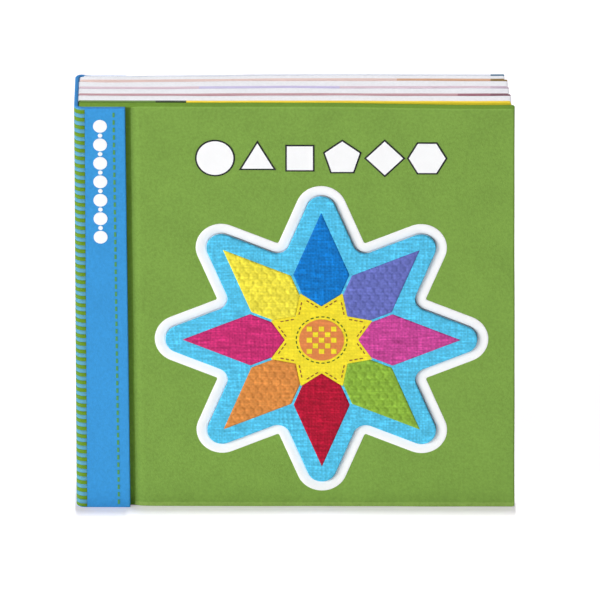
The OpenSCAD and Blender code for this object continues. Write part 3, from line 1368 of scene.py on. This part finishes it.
@dataclass
class Leaves:
    """The three foam leaves, glued at the spine, with their printed films."""

    foam_rim: Rim = Rim(0.5, 0.5)
    glue_rim: Rim = Rim(0.1, 0.1, 2)
    glue_w: float = 3.0
    glue_in: float = 0.8
    glue_bite: float = 0.2
    spine_round: float = 0.25
    wave: float = 0.3
    film_wave: float = 0.15
    film_in: float = 0.3
    film_proud: float = 0.35
    film_short: float = 0.3
    stagger: tuple[float, ...] = (1.4, 2.4, 3.0)

    def dress(self, dresser: Dresser) -> None:
        """Builds the foam and the films, and lets them ride on the pages.

        Args:
            dresser: Gives the pieces their finishes.
        """
        x, z = node_span("page_block", 0), node_span("page_block", 2)
        front, back = node_span("page_block", 1)
        second, third = node_span("second_spread_film", 1), node_span("third_spread_film", 1)
        marks, proud = even_marks(x, z), self.film_proud
        mesh = bmesh.new()
        outlines = []
        for k, (near, far) in enumerate(((front, second[0]), (second[1], third[0]), (third[1], back))):
            end = x[1] - self.stagger[k]
            film = sheet_outline((x[0] + self.film_in, end - proud - self.film_short), z, 0.65, 0.6)
            outlines.append(hand_cut(film, self.film_wave, 0.9 * k))
            foam = sheet_outline((x[0], end - proud), (z[0] + proud, z[1] - proud), 1.1, 0.6)
            foam = hand_cut(foam, self.wave, 1.7 * k)
            tight = along_spine(foam, self.spine_round)
            shaping = Shaping(tight, tight, marks=marks)
            add_slab(mesh, [foam], far - near, self.foam_rim, facing(near), shaping)
        for near, far in (second, third):
            glue = sheet_outline(
                (x[0] + 0.1, x[0] + self.glue_w), (z[0] + self.glue_in, z[1] - self.glue_in), 0.7, 0.7
            )
            deep = far - near + 2 * self.glue_bite
            add_slab(mesh, [glue], deep, self.glue_rim, facing(near - self.glue_bite))
        leaves = finish_mesh(mesh, "leaves")
        dresser.seat(leaves, PAGE_FOAM, "page_block", "pages")
        film_t = (second[1] - second[0] - 0.2) / 2
        first, last = node_span("first_page_film", 1), node_span("last_page_film", 1)
        for name, coat, faces in (
            ("first_page_film", FILM_YELLOW, ((first[0], 0),)),
            ("second_spread_film", FILM_MAROON, ((second[0], 0), (second[1] - film_t, 1))),
            ("third_spread_film", FILM_LILAC, ((third[0], 1), (third[1] - film_t, 2))),
            ("last_page_film", FILM_ORANGE, ((last[0], 2),)),
        ):
            mesh = bmesh.new()
            for y, leaf in faces:
                tight = along_spine(outlines[leaf], self.spine_round)
                shaping = Shaping(tight, tight, marks=marks)
                add_slab(mesh, [outlines[leaf]], film_t, FILM_RIM, facing(y), shaping)
            dresser.seat(finish_mesh(mesh, f"{name}_print"), coat, name, "pages")


@dataclass
class FrontCover:
    """The green foam board with its star-shaped cut-out, and what is printed on it.

    flare_zone is the height where the foot's flare starts, and how far down and across it grows. droop_x and
    droop_z say where the droop of the top corner starts, and over what length it grows.
    """

    star: StarForm
    wrap: SpineWrap
    rim: Rim = Rim(0.8, 0.5, 6)
    nest_r: float = 2.0
    print_t: float = 0.14
    film_short: float = 1.6
    cut_r: float = 0.8
    cut_chords: int = 6
    dip_rings: tuple[float, ...] = (1.2, 1.7, 2.3, 2.9, 3.6)
    foot_rows: tuple[float, ...] = (2.4, 3.8, 5.2, 6.6, 8.0)
    film_proud: float = 0.3
    press: float = 1.05
    press_w: float = 7.5
    flare: float = 0.3
    flare_zone: tuple[float, float, float] = (8.0, 7.0, 8.0)
    droop: float = 1.0
    droop_x: tuple[float, float] = (10.0, 90.0)
    droop_z: tuple[float, float] = (120.0, 95.0)

    def pressed(self, points: np.ndarray) -> np.ndarray:
        """Dips the front face beside the wrap, in its corner and round the cut-out, and flares its foot.

        Args:
            points: The points.

        Returns:
            How deep the foam dips at each point.
        """
        top, down, out = self.flare_zone
        across = points[:, 0] - self.wrap.edge_x(points[:, 1])
        corner = round_drop(points[:, 0] - node_span("front_board", 0)[0], self.nest_r)
        foot = self.flare * smooth((top - points[:, 1]) / down) * smooth(across / out)
        dip = self.star.drawn_in(nearest_side(points, self.star.outline(0.0)))
        return self.press * (1 - smooth(np.abs(across) / self.press_w)) + corner - foot + dip

    def marks(self, x: Sequence[float], z: Sequence[float]) -> np.ndarray:
        """Places the points that let the face bend where it dips or flares.

        Args:
            x: The board's lowest and highest X.
            z: Its lowest and highest Z.

        Returns:
            The points.
        """
        rows = np.linspace(2.5, z[1] - 2.8, 40)
        steps = np.linspace(-1.1, 1.1, 21) * self.press_w
        corner = x[0] + np.linspace(0.4, 1.0, 6) * self.nest_r
        places = [(self.wrap.edge_x(row) + step, row) for row in rows for step in steps]
        places += [(c, row) for row in rows for c in corner]
        places += [(a, row) for row in self.foot_rows for a in np.linspace(-70, x[1] - 3, 40)]
        places += [tuple(p) for d in self.dip_rings for p in self.star.outline(self.star.gap + d)]
        return np.array(places)

    def board(self) -> bpy.types.Object:
        """Makes the board, rounder along the spine where it nests in the wrap.

        Returns:
            The new object.
        """
        x, z = node_span("front_board", 0), node_span("front_board", 2)
        near, far = node_span("front_board", 1)
        outline = sheet_outline(x, (z[0], z[1] - self.film_proud), 1.2, 0.8)
        towards_edge = smooth((outline[:, 0] - self.droop_x[0]) / self.droop_x[1])
        towards_top = smooth((outline[:, 1] - self.droop_z[0]) / self.droop_z[1])
        outline[:, 1] -= self.droop * towards_edge * towards_top
        loop = hand_cut(outline, 0.15, 0.4)
        hole = self.star.outline(self.star.gap)[::-1]
        tight = along_spine(loop, 0.2)
        foot = np.where(loop[:, 1] < 2, 0.5, 1.0)
        shaping = Shaping(tight * foot, tight, self.pressed, self.marks(x, z))
        return slab("front_cover_board", [loop, hole], far - near, self.rim, facing(near), shaping)

    def inner_film(self) -> bpy.types.Object:
        """Makes the printed film on the board's inner face.

        Returns:
            The new object.
        """
        x, z = node_span("front_inner_film", 0), node_span("front_inner_film", 2)
        near, far = node_span("front_inner_film", 1)
        loop = hand_cut(sheet_outline((x[0], x[1] - self.film_short), z), 0.1, 2.2)
        hole = self.star.outline(self.star.gap + 0.2)[::-1]
        return slab("front_inner_print", [loop, hole], far - near, Rim(0.15, 0.15, 2), facing(near))

    def border(self) -> bpy.types.Object:
        """Makes the white border, which dips over the cut-out's round edge.

        Returns:
            The new object.
        """
        face_y = node_span("front_board", 1)[0]
        gap, wide, t = self.star.gap, self.star.gap + self.star.border_w, self.print_t
        rings = [(wide, 0.3), (wide, 0.0), (wide - 0.08, -t * 0.8), (wide - 0.3, -t)]
        rings += [(gap + d, -t) for d in (*reversed(self.dip_rings), self.cut_r)]
        for k in range(1, self.cut_chords + 1):
            a = math.pi / 2 * k / self.cut_chords
            reach = self.cut_r + t
            rings.append((gap + self.cut_r - reach * math.sin(a), self.cut_r - reach * math.cos(a)))
        rings += [(gap - t, 1.4), (gap + 0.3, 1.4), (gap + 1.2, 0.4)]
        rings = [(self.star.outline(g), d + float(self.star.drawn_in(g))) for g, d in rings]
        return ribbon("cutout_border_print", rings, facing(face_y))

    def dress(self, dresser: Dresser) -> None:
        """Builds and dresses the cover's own pieces.

        Args:
            dresser: Gives the pieces their finishes.
        """
        board = self.board()
        for piece, node, coat in (
            (board, "front_board", COVER_GREEN),
            (self.inner_film(), "front_inner_film", FILM_YELLOW),
            (self.border(), "cutout_border", PRINT_WHITE),
        ):
            dresser.seat(piece, coat, node, "front_cover")
        dresser.dress_nodes(
            row_shapes=PRINT_WHITE,
            row_outlines=PRINT_BLACK,
            strip_dots=PRINT_WHITE,
            front_stitches=STITCH_GREEN,
        )


@dataclass
class BackCover:
    """The white foam board of the back cover with a printed film on each face."""

    rim: Rim = Rim(0.6, 0.6, 5)
    film_proud: float = 0.3
    film_short: float = 0.3
    short: float = 4.9

    def dress(self, dresser: Dresser) -> None:
        """Builds and dresses the back cover.

        Args:
            dresser: Gives the pieces their finishes.
        """
        for node, coat, proud, short, corner, wave, rim in (
            ("back_board", PAGE_FOAM, self.film_proud, 0.0, 1.2, 0.3, self.rim),
            ("back_inner_film", FILM_ORANGE, 0.0, self.film_short, 0.7, 0.1, FILM_RIM),
            ("back_outer_film", FILM_BLUE, 0.0, self.film_short, 0.7, 0.1, FILM_RIM),
        ):
            x, y, z = (node_span(node, axis) for axis in range(3))
            outline = sheet_outline(
                (x[0], x[1] - self.short - short), (z[0] + proud, z[1] - proud), corner, 1.0
            )
            loop = hand_cut(outline, wave, 5.1)
            nest = along_spine(loop, 1.2) if coat is PAGE_FOAM else None
            shaping = Shaping(nest, marks=even_marks(x, z))
            piece = slab(f"{node}_dressed", [loop], y[1] - y[0], rim, facing_back(y[1]), shaping)
            dresser.seat(piece, coat, node, "back_cover")
        dresser.dress_nodes(back_stitches=STITCH_GREEN)


class Emboss(Enum):
    """How a patch's surface is pressed, as the grain of its weave and the step of its mesh."""

    WEAVE = (1.45, 0.7)
    HONEYCOMB = (0.75, 0.5)


@dataclass(frozen=True)
class Patch:
    """One patch of the star: its name, colour and emboss."""

    name: str
    colour: Colour
    emboss: Emboss

    @property
    def coat(self) -> Coat:
        """The patch's finish."""
        return Coat(f"patch_{self.name}", self.colour, Finish.WOVEN, 0.5, self.emboss.value[0])


@dataclass
class StarPiece:
    """The lift-out foam star with its printed face and patchwork.

    level and cell_rise are heights of a patch's surface, and each slope is the length over which one rises.
    """

    star: StarForm
    face_rim: Rim = Rim(0.5, 0.05, 8)
    foam_rim: Rim = Rim(0.05, 0.6, 4)
    print_depth: float = 1.5
    face_grow: float = 0.25
    foam_grow: float = 0.1
    off_centre: tuple[float, float] = (-0.08, -0.06)
    cell: float = 4.4
    foot: float = 0.02
    level: float = 0.16
    level_slope: float = 0.6
    cell_rise: float = 0.32
    cell_slope: float = 1.1
    edge_slope: float = 0.8
    patches: tuple[Patch, ...] = (
        Patch("blue", (9, 119, 201), Emboss.WEAVE),
        Patch("yellow", (238, 224, 67), Emboss.HONEYCOMB),
        Patch("magenta", (202, 46, 114), Emboss.WEAVE),
        Patch("orange", (218, 139, 68), Emboss.HONEYCOMB),
        Patch("crimson", (176, 17, 50), Emboss.WEAVE),
        Patch("green", (138, 178, 60), Emboss.HONEYCOMB),
        Patch("pink", (200, 70, 150), Emboss.WEAVE),
        Patch("purple", (103, 111, 187), Emboss.HONEYCOMB),
    )

    def height(self, emboss: Emboss, points: np.ndarray, edge: np.ndarray) -> np.ndarray:
        """Gives the height of a patch's surface, which rises from its outline, with cells or without.

        Args:
            emboss: How the patch is pressed.
            points: The points.
            edge: Each point's distance from the outline.

        Returns:
            Each point's height.
        """
        level = self.foot + self.level * smooth(edge / self.level_slope)
        if emboss is Emboss.WEAVE:
            return level
        cell = smooth(honeycomb(points - self.star.centre, self.cell) / self.cell_slope)
        return level + self.cell_rise * cell * smooth(edge / self.edge_slope)

    def dress(self, dresser: Dresser) -> None:
        """Builds and dresses the star, its face and its patches.

        Args:
            dresser: Gives the pieces their finishes.
        """
        face_y, foam_back = node_span("star_face", 1)[0], node_span("star_foam", 1)[1]
        split = face_y + self.print_depth
        for name, node, coat, grow, (near, far), rim in (
            ("face_print", "face", PRINT_SKY_BLUE, self.face_grow, (face_y, split), self.face_rim),
            ("foam_piece", "foam", PAGE_FOAM, self.foam_grow, (split, foam_back), self.foam_rim),
        ):
            outline = self.star.outline(grow) + np.array(self.off_centre)
            piece = slab(f"star_{name}", [outline], far - near, rim, facing(near))
            dresser.seat(piece, coat, f"star_{node}", "front_cover")
        for k, patch in enumerate(self.patches):
            outline, step = self.star.patch(k), patch.emboss.value[1]
            rise = partial(self.height, patch.emboss)
            piece = relief(f"patch_{patch.name}_print", outline, step, rise, facing(face_y))
            dresser.seat(piece, patch.coat, f"patch_{patch.name}", "front_cover")
        dresser.dress_nodes(
            inner_star=PRINT_YELLOW,
            centre_disc=PRINT_ORANGE,
            centre_checks=PRINT_YELLOW,
            disc_stitches=STITCH_DARK,
            inner_star_stitches=STITCH_BROWN,
        )


# Studio


def point(made: bpy.types.Object, place: Sequence[float], ahead: Vector, roll: float = 0.0) -> None:
    """Places a light or the camera, and turns it.

    Args:
        made: The light or the camera.
        place: Its place in metres.
        ahead: The direction in which it looks.
        roll: Its turn about that direction, in degrees.
    """
    made.location = place
    made.rotation_mode = "QUATERNION"
    turn = Quaternion((0, 0, 1), math.radians(roll))
    made.rotation_quaternion = ahead.to_track_quat("-Z", "Y") @ turn


@dataclass(frozen=True)
class Lamp:
    """A soft light: its place, its target and its panel's sides in metres, and its power in watts."""

    name: str
    place: tuple[float, float, float]
    target: tuple[float, float, float]
    panel: tuple[float, float]
    power: float

    def build(self) -> None:
        """Adds the light."""
        data = bpy.data.lights.new(self.name, "AREA")
        data.shape = "RECTANGLE"
        data.size, data.size_y = self.panel
        data.energy = self.power
        made = add_object(self.name, data)
        point(made, self.place, Vector(self.target) - Vector(self.place))


@dataclass
class Studio:
    """Plain white floor, soft light and the camera at the photograph's angle."""

    azimuth: float = 0.671
    elevation: float = 24.05
    roll: float = -0.183
    distance: float = 13776.0
    aim: tuple[float, float, float] = (2.3, 0.0, 102.86)
    focal_px: float = 28000.0
    image_px: float = 600.0
    sensor: float = 36.0
    sky: float = 0.19
    floor_size: float = 6.0
    floor_colour: tuple[float, float, float, float] = (0.86, 0.86, 0.87, 1)
    floor_tint: tuple[float, float, float, float] = (1, 0.88, 1, 1)
    floor_lift: float = 0.31
    lamps: tuple[Lamp, ...] = (
        Lamp("key_light", (-3.28, -2.22, 0.66), (0.0, 0.0, 0.1), (2.2, 2.2), 171.0),
        Lamp("top_light", (0.0, 1.22, 30.0), (0.0, 1.22, 0.1), (0.2, 1.35), 5850.0),
    )

    def camera(self) -> None:
        """Makes the camera and sets it as the scene's."""
        data = bpy.data.cameras.new("camera")
        data.sensor_width = self.sensor
        data.lens = self.focal_px / self.image_px * self.sensor
        data.clip_start, data.clip_end = 0.05, 50.0
        a, e = math.radians(self.azimuth), math.radians(self.elevation)
        back = Vector((math.sin(a) * math.cos(e), -math.cos(a) * math.cos(e), math.sin(e)))
        made = add_object("camera", data)
        point(made, (Vector(self.aim) + back * self.distance) * MM, -back, self.roll)
        bpy.context.scene.camera = made

    def background(self, graph: Graph) -> Socket:
        """Masks the rays that see the background: the camera's, and those of gloss and glass.

        Args:
            graph: The graph of the sky or the floor.

        Returns:
            The mask's socket.
        """
        path = graph.node("ShaderNodeLightPath").outputs
        seen = graph.math("MAXIMUM", path["Is Camera Ray"], path["Is Glossy Ray"])
        return graph.math("MAXIMUM", seen, path["Is Transmission Ray"])

    def world(self) -> None:
        """Makes a soft even sky that looks plain white."""
        made = bpy.data.worlds.new("sky")
        made.use_nodes = True
        bpy.context.scene.world = made
        graph = Graph(made.node_tree)
        shader = made.node_tree.nodes["Background"].inputs
        graph.feed(shader["Color"], (1, 1, 1, 1))
        graph.feed(shader["Strength"], graph.between(self.background(graph), self.sky, 1.0))

    def floor(self) -> None:
        """Makes a pale floor that looks white and keeps the book's shadow."""
        mesh = bmesh.new()
        bmesh.ops.create_grid(mesh, x_segments=4, y_segments=4, size=self.floor_size)
        data = bpy.data.meshes.new("floor")
        mesh.to_mesh(data)
        mesh.free()
        coat = bpy.data.materials.new("floor_white")
        coat.use_nodes = True
        graph = Graph(coat.node_tree)
        shader = coat.node_tree.nodes["Principled BSDF"].inputs
        graph.feed(shader["Base Color"], self.floor_colour)
        graph.feed(shader["Roughness"], 0.9)
        graph.feed(shader["Specular IOR Level"], 0.1)
        graph.feed(shader["Emission Color"], self.floor_tint)
        lift = graph.between(self.background(graph), 0.0, self.floor_lift)
        graph.feed(shader["Emission Strength"], lift)
        data.materials.append(coat)
        add_object("floor", data)

    def build(self) -> None:
        """Builds the whole studio."""
        bpy.context.scene.view_settings.view_transform = "Standard"
        self.camera()
        self.world()
        self.floor()
        for lamp in self.lamps:
            lamp.build()


def main() -> None:
    """Builds the book's pieces in order, then the studio."""
    logging.basicConfig(level=logging.INFO, format="%(name)s: %(message)s")
    dresser, star = Dresser(), StarForm()
    front_wrap, back_wrap = SpineWrap(CoverSide.FRONT), SpineWrap(CoverSide.BACK, top_drop=0.6)
    for wrap in (front_wrap, back_wrap):
        wrap.dress(dresser)
    Leaves().dress(dresser)
    FrontCover(star, front_wrap).dress(dresser)
    StarPiece(star).dress(dresser)
    BackCover().dress(dresser)
    Studio().build()
    bpy.context.view_layer.update()
    LOG.info("built the studio")


if __name__ == "__main__":
    main()
